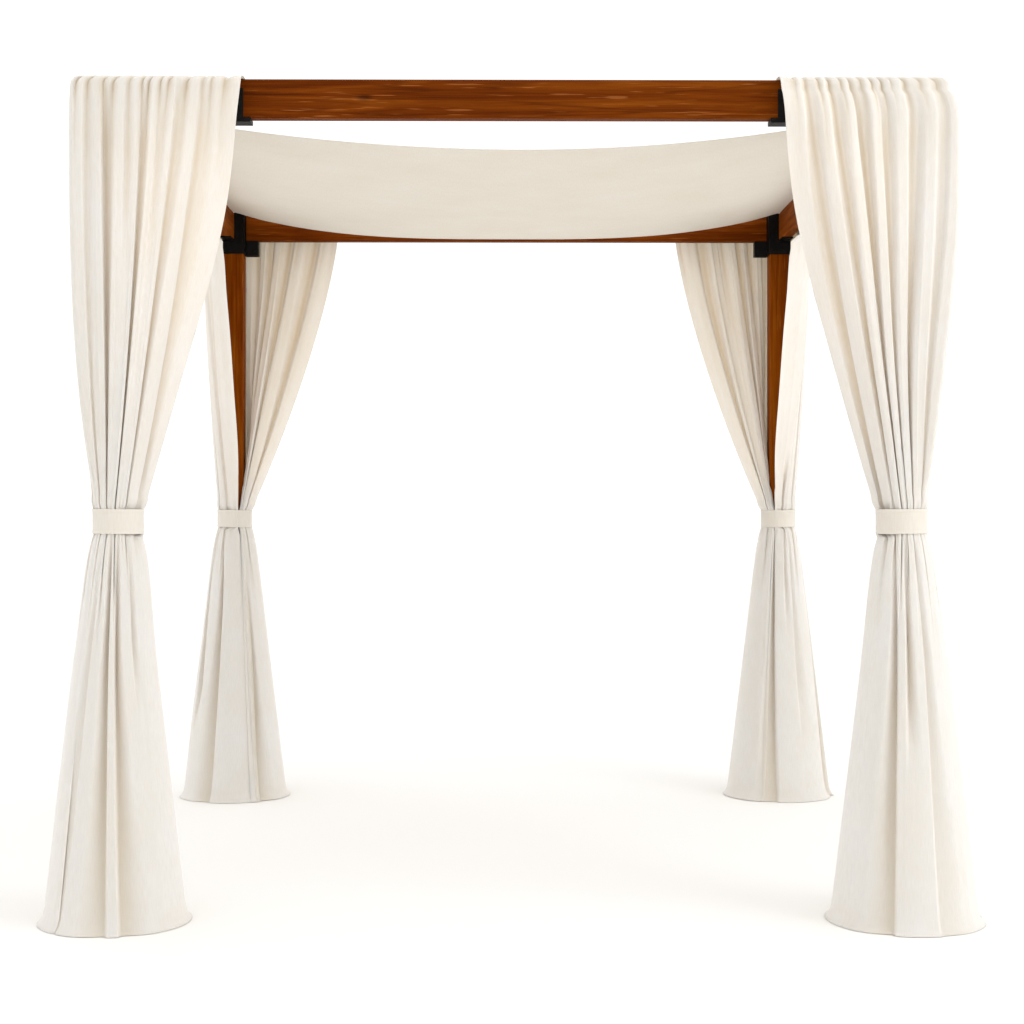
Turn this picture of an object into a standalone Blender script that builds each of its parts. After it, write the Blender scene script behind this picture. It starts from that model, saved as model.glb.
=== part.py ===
"""Square timber pergola with a sagging cloth canopy and gathered curtains at its four posts.

Metres, +Z up. The origin is on the ground at the middle of the plan, and the front is -Y.
"""

import math

import bmesh
import bpy
import numpy as np

# Timber frame
FRAME_WIDTH = 2.64
FRAME_HEIGHT = 2.72
POST_SIZE = 0.09
BEAM_WIDTH = 0.050
BEAM_HEIGHT = 0.125
EASED_EDGE = 0.004

# Steel brackets and clips
STEEL = 0.006
SLEEVE_BELOW_BEAM = 0.066
BLOCK_LENGTH = 0.059
BLOCK_HEIGHT = 0.069
SHELF_LENGTH = 0.105
CLIP_REACH = 0.862
CLIP_LENGTH = 0.070
CLIP_PLATE_HEIGHT = 0.094
CLIP_FOOT_HEIGHT = 0.014
CLIP_FOOT_OVERHANG = 0.024

# Canopy
CANOPY_THICKNESS = 0.004
CANOPY_SAG = 0.120
CANOPY_SAG_POWER = 2.4
CANOPY_LAP = 0.020
CANOPY_FRONT_SETBACK = 0.510
CANOPY_COLUMNS = 24
CANOPY_ROWS = 4

# Curtains
CLOTH_THICKNESS = 0.005
PANEL_REACH = {"front": 0.417, "rear": 0.480, "side": 0.420}
HEADING_LAP = 0.022
HANG_DISTANCE = 0.065
CORNER_GAP = 0.003
TOP_FOLD_DEPTH = 0.022
HEM_FOLD_DEPTH = 0.018
FOLDS = 4.5
PANEL_COLUMNS = 18
WAIST_HEIGHT = 1.295
WAIST_RADIUS = 0.0755
HEM_RADIUS = 0.225
HEM_CURL = 0.020
HEM_CLEARANCE = 0.004
SLIT_ANGLE = math.radians(69)
SLIT_HALF_ANGLE = math.radians(3)
FREE_EDGE_POWERS = (1.6, 1.2)
CORNER_POWER = 4.0

# Tie bands
BAND_HEIGHT = 0.080
BAND_THICKNESS = 0.005
BAND_SIDES = 40

# Air left between touching pieces
GAP = 0.0003

HALF_POST = POST_SIZE / 2
POST_CENTRE = FRAME_WIDTH / 2 - HALF_POST
BEAM_INNER_FACE = FRAME_WIDTH / 2 - BEAM_WIDTH
BEAM_BOTTOM = FRAME_HEIGHT - BEAM_HEIGHT
SEAT = BEAM_BOTTOM - GAP
SLEEVE_INSIDE = HALF_POST + GAP
SLEEVE_HALF = SLEEVE_INSIDE + STEEL
CORNERS = {
    "front_left": (-1, -1),
    "front_right": (1, -1),
    "rear_left": (-1, 1),
    "rear_right": (1, 1),
}


def clear_scene():
    """Removes whatever the scene holds at the start."""
    for old in list(bpy.data.objects):
        bpy.data.objects.remove(old, do_unlink=True)


def linear(red, green, blue):
    """Linear colour of a screen colour given from 0 to 255."""
    channels = []
    for value in (red, green, blue):
        share = value / 255
        channels.append(share / 12.92 if share <= 0.04045 else ((share + 0.055) / 1.055) ** 2.4)
    return (*channels, 1.0)


def make_material(name, colour, roughness, metallic=0.0):
    material = bpy.data.materials.new(name)
    material.use_nodes = True
    shader = material.node_tree.nodes["Principled BSDF"]
    shader.inputs["Base Color"].default_value = linear(*colour)
    shader.inputs["Roughness"].default_value = roughness
    shader.inputs["Metallic"].default_value = metallic
    return material


def add_object(name, mesh, material=None):
    obj = bpy.data.objects.new(name, mesh)
    bpy.context.scene.collection.objects.link(obj)
    if material:
        mesh.materials.append(material)
    return obj


def box(name, low, high, material=None):
    """Box between two corners, which may be given in any order.

    Its points are the corners' own numbers, so that boxes which share a plane share it exactly.
    """
    low, high = np.minimum(low, high), np.maximum(low, high)
    solid = bmesh.new()
    bmesh.ops.create_cube(solid, size=1.0)
    for point in solid.verts:
        point.co = [far if place > 0 else near for place, near, far in zip(point.co, low, high)]
    mesh = bpy.data.meshes.new(name)
    solid.to_mesh(mesh)
    solid.free()
    return add_object(name, mesh, material)


def timber(name, low, high, material):
    """Sawn timber whose edges are eased by a small chamfer."""
    obj = box(name, low, high, material)
    edge = obj.modifiers.new("eased_edges", "BEVEL")
    edge.width = EASED_EDGE
    edge.segments = 1
    return obj


def helper(name, low, high):
    """Box that only shapes another piece."""
    obj = box(name, low, high)
    obj.hide_render = True
    obj.display_type = "WIRE"
    return obj


def combine(obj, operation, other):
    step = obj.modifiers.new(other.name, "BOOLEAN")
    step.operation = operation
    step.solver = "EXACT"
    step.object = other


def sheet(name, points, thickness, material, closed=False):
    """Cloth of an even thickness around a grid of points.

    A closed sheet joins its last column to its first.
    """
    rows, columns = points.shape[:2]
    across = columns if closed else columns - 1
    faces = []
    for row in range(rows - 1):
        for column in range(across):
            following = (column + 1) % columns
            near = row * columns
            far = near + columns
            faces.append((near + column, near + following, far + following, far + column))
    mesh = bpy.data.meshes.new(name)
    mesh.from_pydata(points.reshape(-1, 3).tolist(), [], faces)
    obj = add_object(name, mesh, material)
    shell = obj.modifiers.new("cloth_thickness", "SOLIDIFY")
    shell.thickness = thickness
    shell.offset = 0.0
    return obj


def make_frame(wood):
    """Four posts, and four beams that butt against the steel caps on the posts' tops."""
    half = FRAME_WIDTH / 2
    post_top = FRAME_HEIGHT - STEEL - GAP
    for corner, (side, end) in CORNERS.items():
        x, y = side * POST_CENTRE, end * POST_CENTRE
        low = (x - HALF_POST, y - HALF_POST, 0)
        high = (x + HALF_POST, y + HALF_POST, post_top)
        timber(f"post_{corner}", low, high, wood)
    reach = POST_CENTRE - SLEEVE_HALF - GAP
    for name, end in (("front", -1), ("rear", 1)):
        low = (-reach, end * BEAM_INNER_FACE, BEAM_BOTTOM)
        timber(f"beam_{name}", low, (reach, end * half, FRAME_HEIGHT), wood)
    for name, side in (("left", -1), ("right", 1)):
        low = (side * BEAM_INNER_FACE, -reach, BEAM_BOTTOM)
        timber(f"beam_{name}", low, (side * half, reach, FRAME_HEIGHT), wood)


def make_corner_bracket(corner, steel):
    """Square cap over the post's top, with a hollow block under one beam and a shelf under the other."""
    side, end = CORNERS[corner]

    def local(x, y, z):
        """Point given inwards from the post's axis, for this corner."""
        return (side * (POST_CENTRE - x), end * (POST_CENTRE - y), z)

    name = f"corner_bracket_{corner}"
    sleeve_bottom = BEAM_BOTTOM - SLEEVE_BELOW_BEAM
    in_wall = SLEEVE_HALF - STEEL / 2
    beam_inside = BEAM_WIDTH - HALF_POST
    bracket = box(
        name,
        local(-SLEEVE_HALF, -SLEEVE_HALF, sleeve_bottom),
        local(SLEEVE_HALF, SLEEVE_HALF, FRAME_HEIGHT),
        steel,
    )
    post_space = helper(
        f"{name}_post_space",
        local(-SLEEVE_INSIDE, -SLEEVE_INSIDE, sleeve_bottom - STEEL),
        local(SLEEVE_INSIDE, SLEEVE_INSIDE, FRAME_HEIGHT - STEEL),
    )
    combine(bracket, "DIFFERENCE", post_space)
    block = helper(
        f"{name}_block",
        local(in_wall, -HALF_POST, BEAM_BOTTOM - BLOCK_HEIGHT),
        local(SLEEVE_HALF + BLOCK_LENGTH, beam_inside, SEAT),
    )
    shelf = helper(
        f"{name}_shelf",
        local(-HALF_POST, in_wall, SEAT - STEEL),
        local(beam_inside, SLEEVE_HALF + SHELF_LENGTH, SEAT),
    )
    for arm in (block, shelf):
        combine(bracket, "UNION", arm)
    hollow = helper(
        f"{name}_hollow",
        local(SLEEVE_HALF, STEEL - HALF_POST, BEAM_BOTTOM - BLOCK_HEIGHT - STEEL),
        local(SLEEVE_HALF + BLOCK_LENGTH - STEEL, beam_inside - STEEL, SEAT - STEEL),
    )
    combine(bracket, "DIFFERENCE", hollow)


def make_beam_clip(name, side, steel):
    """Channel round the front beam where the curtain ends, on a foot that runs a little further inwards."""
    front = -FRAME_WIDTH / 2 - GAP
    back = -BEAM_INNER_FACE + GAP
    outer = side * (CLIP_REACH + CLIP_LENGTH)
    inner = side * CLIP_REACH
    foot_end = inner - side * CLIP_FOOT_OVERHANG
    clip = box(
        name,
        (outer, front - STEEL, BEAM_BOTTOM - CLIP_FOOT_HEIGHT),
        (inner, back + STEEL, BEAM_BOTTOM + CLIP_PLATE_HEIGHT),
        steel,
    )
    foot = helper(
        f"{name}_foot",
        ((outer + inner) / 2, front - STEEL, BEAM_BOTTOM - CLIP_FOOT_HEIGHT),
        (foot_end, back + STEEL, SEAT),
    )
    combine(clip, "UNION", foot)
    beam_space = helper(
        f"{name}_beam_space",
        (outer + side * STEEL, front, SEAT),
        (foot_end - side * STEEL, back, FRAME_HEIGHT),
    )
    combine(clip, "DIFFERENCE", beam_space)


def make_canopy(cloth):
    """One sheet that lies on the side beams' tops and sags between them in a smooth bow."""
    reach = BEAM_INNER_FACE + CANOPY_LAP
    hanging = np.linspace(-BEAM_INNER_FACE, BEAM_INNER_FACE, CANOPY_COLUMNS + 1)
    across = np.concatenate([[-reach], hanging, [reach]])
    share = np.minimum(np.abs(across) / BEAM_INNER_FACE, 1)
    resting = FRAME_HEIGHT + GAP + CANOPY_THICKNESS / 2
    height = resting - CANOPY_SAG * (1 - share**CANOPY_SAG_POWER)
    front = -FRAME_WIDTH / 2 + CANOPY_FRONT_SETBACK
    rear = POST_CENTRE - SLEEVE_HALF - CANOPY_THICKNESS / 2
    along = np.linspace(front, rear, CANOPY_ROWS + 1)
    points = np.empty((len(along), len(across), 3))
    points[:, :, 0] = across
    points[:, :, 1] = along[:, None]
    points[:, :, 2] = height
    sheet("canopy", points, CANOPY_THICKNESS, cloth)


def panel_rows():
    """Heights of a curtain's rows as (height, fall, flare, curl).

    fall runs 0 to 1 from the heading to the band, flare 0 to 1 below it, and curl is the hem's turn outwards.
    """
    band_top = WAIST_HEIGHT + BAND_HEIGHT / 2
    band_bottom = WAIST_HEIGHT - BAND_HEIGHT / 2
    rows = []
    for fall in (0.014, 0.09, 0.28, 0.48, 0.68, 0.86, 1.0):
        rows.append((FRAME_HEIGHT + fall * (band_top - FRAME_HEIGHT), fall, 0.0, 0.0))
    for flare in (0.0, 0.12, 0.36, 0.62, 0.86, 0.965, 1.0):
        height = band_bottom + flare * (HEM_CLEARANCE - band_bottom)
        rows.append((height, 1.0, flare, 1.0 if flare == 1 else 0.0))
    return rows


def panel_points(reach, slit_edge):
    """Grid of one curtain, inwards from the post's axis, as it hangs on the front face of the front beam.

    Its plan is a straight line of folds at the beam, an arc round the post at the band, from the angle of
    its slit edge to the corner's diagonal, and the same arc, wider and folded, at the hem. The rows
    between blend the line into the arc, each column by its own power of the fall: the free edge soon,
    the outer corner only near the band.
    """
    share = np.linspace(0, 1, PANEL_COLUMNS + 1)
    wave = np.cos(2 * math.pi * FOLDS * (1 - share))
    diagonal = -3 * math.pi / 4
    powers = np.column_stack([power + share * (CORNER_POWER - power) for power in FREE_EDGE_POWERS])

    def line(depth):
        """Points at one depth outside the beam, from the free edge to the corner's diagonal."""
        end = depth + 2 * CORNER_GAP
        return np.stack([reach + share * (end - reach), np.full_like(share, depth)], axis=1)

    lap_height = FRAME_HEIGHT + GAP + CLOTH_THICKNESS / 2
    grid = []
    for depth in (-HALF_POST + HEADING_LAP, -SLEEVE_HALF - CLOTH_THICKNESS):
        grid.append(np.column_stack([line(depth), np.full_like(share, lap_height)]))
    folded = line(-HALF_POST - HANG_DISTANCE - TOP_FOLD_DEPTH)
    folded[:, 1] += TOP_FOLD_DEPTH * (1 - wave)
    for height, fall, flare, curl in panel_rows():
        radius = WAIST_RADIUS + flare * (HEM_RADIUS - WAIST_RADIUS + HEM_FOLD_DEPTH * wave) + curl * HEM_CURL
        seam_edge = diagonal + CORNER_GAP / radius[-1]
        angle = slit_edge + share * (seam_edge - slit_edge)
        circle = np.stack([np.cos(angle), np.sin(angle)], axis=1) * radius[:, None]
        sweep = fall**powers
        plan = (1 - sweep) * folded + sweep * circle
        grid.append(np.column_stack([plan, np.full_like(share, height)]))
    return np.array(grid)


def make_curtains(cloth):
    """Two panels at each corner, one on each beam. A side panel's plan has its axes swapped.

    The slit between the two faces inwards along Y, so the panel on the beam along X reaches further
    round the post.
    """
    for corner, (side, end) in CORNERS.items():
        end_name, side_name = corner.split("_")
        for name, reach, slit, swapped in (
            (f"{end_name}_curtain_{side_name}", PANEL_REACH[end_name], SLIT_ANGLE, False),
            (f"{side_name}_curtain_{end_name}", PANEL_REACH["side"], math.pi / 2 - SLIT_ANGLE, True),
        ):
            points = panel_points(reach, slit - SLIT_HALF_ANGLE)
            if swapped:
                points = points[:, :, [1, 0, 2]]
            points[:, :, 0] = side * (POST_CENTRE - points[:, :, 0])
            points[:, :, 1] = end * (POST_CENTRE - points[:, :, 1])
            sheet(name, points, CLOTH_THICKNESS, cloth)


def make_tie_bands(cloth):
    """Flat band round each gathered pair of curtains."""
    turn = np.arange(BAND_SIDES) * 2 * math.pi / BAND_SIDES
    radius = WAIST_RADIUS + (CLOTH_THICKNESS + BAND_THICKNESS) / 2 + 2 * GAP
    for corner, (side, end) in CORNERS.items():
        points = np.empty((2, BAND_SIDES, 3))
        points[:, :, 0] = side * POST_CENTRE + radius * np.cos(turn)
        points[:, :, 1] = end * POST_CENTRE + radius * np.sin(turn)
        points[0, :, 2] = WAIST_HEIGHT - BAND_HEIGHT / 2
        points[1, :, 2] = WAIST_HEIGHT + BAND_HEIGHT / 2
        sheet(f"tie_band_{corner}", points, BAND_THICKNESS, cloth, closed=True)


def main():
    clear_scene()
    wood = make_material("stained_wood", (112, 56, 20), 0.55)
    steel = make_material("black_steel", (26, 25, 25), 0.5, metallic=0.6)
    curtain_cloth = make_material("curtain_cloth", (240, 233, 222), 0.9)
    canopy_cloth = make_material("canopy_cloth", (229, 221, 208), 0.9)
    make_frame(wood)
    for corner in CORNERS:
        make_corner_bracket(corner, steel)
    make_beam_clip("beam_clip_left", -1, steel)
    make_beam_clip("beam_clip_right", 1, steel)
    make_canopy(canopy_cloth)
    make_curtains(curtain_cloth)
    make_tie_bands(curtain_cloth)


main()
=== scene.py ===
"""Looks of the curtained timber pergola: gathered curtains, tie bands, canopy, bolts and finishes.

Metres, +Z up. The front is -Y. Each corner is modelled in its own plan, whose two numbers run inwards
from the post's axis: `along` the beam that carries the curtain, and `depth` across that beam.
"""

import math
from collections import namedtuple

import bpy
import numpy as np
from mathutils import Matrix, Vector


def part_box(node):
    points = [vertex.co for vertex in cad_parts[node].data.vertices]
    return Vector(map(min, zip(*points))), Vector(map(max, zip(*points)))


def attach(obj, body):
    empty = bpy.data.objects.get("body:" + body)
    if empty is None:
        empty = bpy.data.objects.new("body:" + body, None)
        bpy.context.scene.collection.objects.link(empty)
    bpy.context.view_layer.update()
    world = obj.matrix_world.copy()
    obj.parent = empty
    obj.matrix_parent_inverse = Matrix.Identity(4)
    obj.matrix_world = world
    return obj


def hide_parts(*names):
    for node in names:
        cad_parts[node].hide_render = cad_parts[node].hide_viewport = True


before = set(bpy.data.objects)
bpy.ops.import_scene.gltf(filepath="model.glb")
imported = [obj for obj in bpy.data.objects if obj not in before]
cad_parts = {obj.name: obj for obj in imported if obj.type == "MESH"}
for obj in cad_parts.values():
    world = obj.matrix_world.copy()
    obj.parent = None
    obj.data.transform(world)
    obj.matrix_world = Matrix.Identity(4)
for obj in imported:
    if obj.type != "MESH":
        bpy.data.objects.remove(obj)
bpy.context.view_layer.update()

# Which way each corner lies from the middle, along X and along Y
CORNERS = {
    "front_left": (-1, -1),
    "front_right": (1, -1),
    "rear_left": (-1, 1),
    "rear_right": (1, 1),
}

# Places of the solids that the soft pieces follow
post_low, post_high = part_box("post_front_right")
POST_CENTRE = (post_low.x + post_high.x) / 2
HALF_POST = (post_high.x - post_low.x) / 2
FRAME_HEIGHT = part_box("beam_front")[1].z
BEAM_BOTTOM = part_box("beam_front")[0].z
CAP_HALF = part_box("corner_bracket_front_right")[1].x - POST_CENTRE
BAND_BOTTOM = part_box("tie_band_front_right")[0].z
BAND_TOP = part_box("tie_band_front_right")[1].z
BAND_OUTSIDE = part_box("tie_band_front_right")[1].x - POST_CENTRE
PANEL_REACH = {
    "front": POST_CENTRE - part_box("front_curtain_right")[0].x,
    "rear": POST_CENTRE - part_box("rear_curtain_right")[0].x,
    "side": POST_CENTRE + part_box("right_curtain_front")[1].y,
}

# Gather under the band, in metres and degrees round the post: the slit between a corner's two curtains is
# on its inner side, the seam on its outer side, and the cloth puffs out a little above the band
CLOTH_THICKNESS = 0.0013
GATHER_INSET = 0.0072
GATHER_RADIUS = BAND_OUTSIDE - GATHER_INSET
PUFF, PUFF_RISE, PUFF_WIDTH = 0.0045, 0.022, 0.020
SLIT_ANGLE = 67.0
SLIT_HALF_ANGLE = 3.0
SLIT_LAP = 11.0
SEAM_ANGLE = -135.0
SEAM_TUCK = 6.0
SEAM_TUCK_SHARE = 0.022
TUCK_DEPTH = 0.0035
POST_CLEARANCE = 0.004

# Rear curtains that show their inner face: the angle of their free edge, and how deep the part that is
# turned back lies at the band and in the skirt
TURNED_FREE_ANGLE = -8.0
TURNED_BACK_DEPTH = (0.0055, 0.012)

# Hanging line under the heading, and how far the cloth bulges below it
CORNER_ROUNDING = 0.018
HANG_DEPTH = 0.128
HANG_BULGE = {"front_left": 0.002, "front_right": 0.024, "rear_left": 0.002, "rear_right": 0.002}
EDGE_WIDTH = 0.20

# Skirt below the band
SKIRT_AT_FLOOR = 0.240
SKIRT_SLOPE = 0.120
SKIRT_PINCH = 0.060
SKIRT_SHIFT = 0.008
SKIRT_SIZE = {"front_left": 0.955, "front_right": 1.0, "rear_left": 1.0, "rear_right": 1.0}
HEM_LIP = 0.022
HEM_LIP_HEIGHT = 0.014
HEM_FLOOR_GAP = 0.0025

# Rows above the band, on it and in the skirt, and columns of a curtain
UPPER_ROWS, BAND_ROWS, SKIRT_ROWS = 68, 5, 48
COLUMNS = 192

# Heading: the cloth's way from the beam's top, over its own roll and down, as (depth, height above beam).
# Its first rows lie flat.
HEADING = (
    (-0.0230, 0.0026),
    (-0.0340, 0.0028),
    (-0.0450, 0.0036),
    (-0.0620, 0.0034),
    (-0.0800, 0.0016),
    (-0.0960, -0.0016),
    (-0.1080, -0.0048),
    (-0.1160, -0.0090),
    (-0.1215, -0.0145),
    (-0.1255, -0.0230),
    (-0.1275, -0.0340),
    (-0.1280, -0.0480),
)
FLAT_HEADING_ROWS = 3

# Knots of curves over the share of a curtain's width, 0 at its free edge: the power of the fall by which
# a column leaves the hanging line for the band, along the beam and across it
ALONG_POWER = ((0, 1.45), (0.6, 1.45), (0.85, 2.4), (1.03, 3.5))
DEPTH_POWER = ((0, 1.40), (0.6, 1.60), (0.85, 2.6), (1.03, 3.7))

# Knots from the beam's top, 0, to the band's top, 1: how deep the free edge lies, how deep the folds are
# and how far their two flanks close over them, as a share of a fold
FREE_EDGE = {
    "X": (
        (0, -0.128), (0.10, -0.130), (0.18, -0.080), (0.28, -0.015),
        (0.42, 0.028), (0.62, 0.050), (0.82, 0.064), (1, 0.070),
    ),
    "Y": (
        (0, -0.128), (0.06, -0.126), (0.085, -0.110), (0.105, -0.050), (0.125, -0.004), (0.16, 0.005),
        (0.30, 0.016), (0.42, 0.025), (0.61, 0.033), (0.80, 0.039), (1, 0.027),
    ),
}
FOLD_DEPTH = (
    (0, 0), (0.03, 0.007), (0.12, 0.017), (0.30, 0.022),
    (0.55, 0.024), (0.75, 0.023), (0.90, 0.019), (1, 0.013),
)
SHARP_FLANK = ((0, 0.00), (0.15, 0.03), (0.45, 0.06), (0.70, 0.10), (0.88, 0.17), (1, 0.19))
PLAIN_FLANK = ((0, 0.00), (0.50, 0.00), (0.75, 0.03), (0.90, 0.09), (1, 0.11))

# How far a fold takes to fade in and out, the share by which the folds fade where a curtain turns back,
# and how far folds that are seen from inside are set in, as a share of their depth
FADE_IN, FADE_OUT = 0.15, 0.35
CALM_AT_TURN = 0.9
INSIDE_SET_IN = 0.65
# Half width of a crease's floor and the most that it grows, and widths of its steep and gentle flank, above
# the band and in the skirt, in shares of the way from one fold to the next
UPPER_FLOOR, SKIRT_FLOOR = (0.04, 0.10), (0.04, 0.12)
UPPER_FLANKS, SKIRT_FLANKS = (0.13, 0.32), (0.12, 0.20)
GENTLE_LOSS = 0.12
CROWN = 0.10
CREASE_WIDTH = 0.16
# Unevenness: of a fold's depth, of its place as a share of a fold, and of the whole cloth in metres
UNEVEN_DEPTH, UNEVEN_PLACE, CRUMPLE = 0.22, 0.08, 0.0009

# Knots in metres below the beam's top: how deep the fine pleats of the gathered heading are, and how deep
# and tall they are beside the band
PLEAT_DEPTH = (
    (0, 0.006), (0.012, 0.012), (0.035, 0.016), (0.07, 0.013), (0.14, 0.006), (0.30, 0.0020), (1.5, 0.0005),
)
PLEAT_AT_BAND, PLEAT_AT_BAND_HEIGHT = 0.0035, 0.030
# Range of the pleats' sizes, and how far one strays from its even place, as a share of their spacing
PLEAT_SIZES, PLEAT_STRAY = (0.6, 1.3), 0.28

# Knots from the band's underside, 0, to the floor, 1: how deep the folds that run on below the band are,
# how far their flanks close over them, and how deep the skirt's valleys are
SKIRT_DEPTH = ((0, 0.013), (0.06, 0.013), (0.14, 0.008), (0.26, 0.002), (0.40, 0), (1, 0))
SKIRT_FLANK = ((0, 0.19), (0.08, 0.14), (0.18, 0.05), (0.30, 0), (1, 0))
VALLEY_DEPTH = ((0, 0.004), (0.06, 0.014), (0.20, 0.026), (0.50, 0.034), (0.80, 0.030), (1, 0.017))
# Widths of a valley's steep and gentle side at the band, and how much wider they are at the hem
STEEP_SIDE, GENTLE_SIDE = (0.007, 0.008), (0.009, 0.105)

# Painted shade of the cloth's folds: the depths at which a broad fold and a fine pleat get their full
# painted shade, and how much painted shade a fold's dent, its crease and a valley of the skirt get
FULL_SHADE_FOLD, FULL_SHADE_PLEAT = 0.026, 0.010
DENT_SHADE, CREASE_SHADE, VALLEY_SHADE = 0.30, 0.45, 0.50

# Widths and lengths of the flat cloths
CURTAIN_FLAT = {
    "front_curtain": (0.84, 2.78),
    "rear_curtain": (0.92, 2.78),
    "left_curtain": (0.72, 2.78),
    "right_curtain": (0.72, 2.78),
}

# Fold lines of the curtains from the free edge to the outer corner: the share of the width at the beam,
# the angles round the post at the band and at the hem, where the fold starts and ends, with the beam at 0,
# the band at 1 and the hem at 2, and how deep it is above the band and below it
FOLD_LINES = {
    "front_curtain_left": (
        (0.213, -37, -34, 0.0, 1.20, 1.0, 0.35),
        (0.361, -61, -48, 0.0, 1.75, 0.9, 0.35),
        (0.450, -72, -64, 0.0, 0.48, 0.6, 0.3),
        (0.565, -85, -77, 0.0, 2.60, 1.1, 1.0),
        (0.655, -94, -92, 0.0, 0.52, 0.6, 0.3),
        (0.795, -105, -107, 0.0, 2.60, 1.2, 1.1),
        (0.905, -124, -128, 0.0, 2.30, 0.4, 0.35),
    ),
    "front_curtain_right": (
        (0.150, -42, -34, 0.0, 1.25, 1.0, 0.35),
        (0.290, -60, -50, 0.0, 1.40, 0.9, 0.35),
        (0.432, -76, -64, 0.0, 2.60, 1.1, 1.0),
        (0.580, -89, -80, 0.0, 2.60, 1.1, 1.1),
        (0.745, -103, -98, 0.0, 1.80, 1.1, 0.5),
        (0.915, -126, -118, 0.0, 2.20, 0.4, 0.35),
    ),
    "rear_curtain_left": (
        (0.170, 42, 40, 0.0, 2.00, 1.0, 1.0),
        (0.375, 60, 56, 0.0, 1.50, 1.0, 0.9),
        (0.530, 66, 65, 0.0, 0.95, 0.9, 0.3),
        (0.640, 40, 40, 0.0, 0.95, 0.6, 0.3),
        (0.760, -20, -20, 0.0, 0.90, 0.6, 0.3),
        (0.880, -85, -85, 0.0, 0.90, 0.6, 0.3),
    ),
    "rear_curtain_right": (
        (0.205, 46, 44, 0.0, 1.60, 1.0, 0.9),
        (0.355, 56, 54, 0.0, 0.45, 0.5, 0.3),
        (0.500, 64, 62, 0.0, 2.30, 1.0, 1.0),
        (0.590, 66, 65, 0.0, 0.95, 0.8, 0.3),
        (0.720, 0, 0, 0.0, 0.90, 0.6, 0.3),
        (0.870, -80, -80, 0.0, 0.90, 0.6, 0.3),
    ),
    "left_curtain_front": (
        (0.200, -22, -20, 0.0, 1.30, 1.0, 0.4),
        (0.370, -50, -46, 0.0, 2.60, 1.0, 0.9),
        (0.480, -64, -60, 0.0, 0.50, 0.6, 0.3),
        (0.590, -78, -74, 0.0, 1.40, 1.0, 0.4),
        (0.740, -98, -94, 0.0, 2.40, 1.0, 0.9),
        (0.890, -118, -116, 0.0, 1.50, 0.8, 0.5),
    ),
    "right_curtain_front": (
        (0.180, -18, -16, 0.0, 2.00, 1.0, 0.8),
        (0.340, -46, -42, 0.0, 1.35, 1.0, 0.4),
        (0.450, -60, -56, 0.0, 0.50, 0.6, 0.3),
        (0.560, -73, -70, 0.0, 2.60, 1.0, 1.0),
        (0.720, -95, -94, 0.0, 1.50, 1.0, 0.4),
        (0.880, -117, -116, 0.0, 2.10, 0.8, 0.6),
    ),
    "left_curtain_rear": (
        (0.250, -28, -18, 0.0, 1.90, 0.5, 0.9),
        (0.420, -54, -50, 0.0, 1.40, 0.6, 0.4),
        (0.590, -78, -76, 0.0, 2.60, 1.0, 1.0),
        (0.750, -100, -98, 0.0, 1.40, 0.9, 0.5),
        (0.900, -120, -118, 0.0, 1.80, 0.7, 0.6),
    ),
    "right_curtain_rear": (
        (0.230, -12, -10, 0.80, 1.25, 1.0, 0.4),
        (0.400, -42, -26, 0.0, 1.80, 0.6, 0.9),
        (0.580, -76, -70, 0.0, 1.45, 1.0, 0.5),
        (0.745, -101, -98, 0.0, 2.40, 0.9, 1.0),
        (0.890, -120, -118, 0.0, 1.50, 0.7, 0.4),
    ),
}

# Valleys of the skirts: the angles round the post at the band and at the hem, where the valley ends, with
# the band at 0 and the hem at 1, its depth, and its steep side, 1 where the angle is larger and -1 where
# it is smaller
SKIRT_VALLEYS = {
    "front_curtain_left": (
        (-92, -87, 1.50, 1.0, 1),
        (-78, -73, 1.50, 1.0, -1),
        (-54, -42, 0.50, 0.6, -1),
        (-112, -128, 1.20, 0.35, 1),
    ),
    "front_curtain_right": (
        (-63, -68, 1.50, 1.0, -1),
        (-83, -81, 0.62, 0.8, 1),
        (-107, -106, 1.50, 0.45, 1),
        (-38, -30, 0.25, 0.6, -1),
    ),
    "rear_curtain_left": (
        (59, 56, 1.50, 1.0, 1),
        (36, 30, 0.25, 0.5, 1),
        (-20, -22, 1.50, 0.5, 1),
        (-52, -50, 1.50, 1.0, -1),
        (-84, -86, 0.90, 0.8, 1),
        (-110, -108, 1.50, 0.6, 1),
    ),
    "rear_curtain_right": (
        (68, 77, 1.50, 1.0, 1),
        (50, 46, 0.25, 0.6, 1),
        (-14, -18, 1.50, 0.6, 1),
        (-44, -46, 0.80, 0.8, 1),
        (-72, -70, 1.50, 1.0, -1),
        (-105, -107, 1.50, 0.6, 1),
    ),
    "left_curtain_front": (
        (-20, -18, 0.60, 0.8, -1),
        (-62, -58, 1.50, 1.0, 1),
        (-98, -94, 1.50, 0.8, -1),
    ),
    "right_curtain_front": (
        (-22, -20, 1.50, 0.8, -1),
        (-58, -60, 0.70, 0.8, 1),
        (-94, -90, 1.50, 1.0, 1),
    ),
    "left_curtain_rear": (
        (-20, -21, 1.50, 1.0, 1),
        (-64, -60, 0.80, 0.7, -1),
        (-100, -98, 1.50, 0.9, -1),
    ),
    "right_curtain_rear": (
        (22, 11, 1.50, 1.0, -1),
        (-8, -7, 0.42, 0.6, 1),
        (-23, -24, 0.80, 0.4, 1),
        (-80, -76, 1.50, 0.9, -1),
    ),
}

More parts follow.
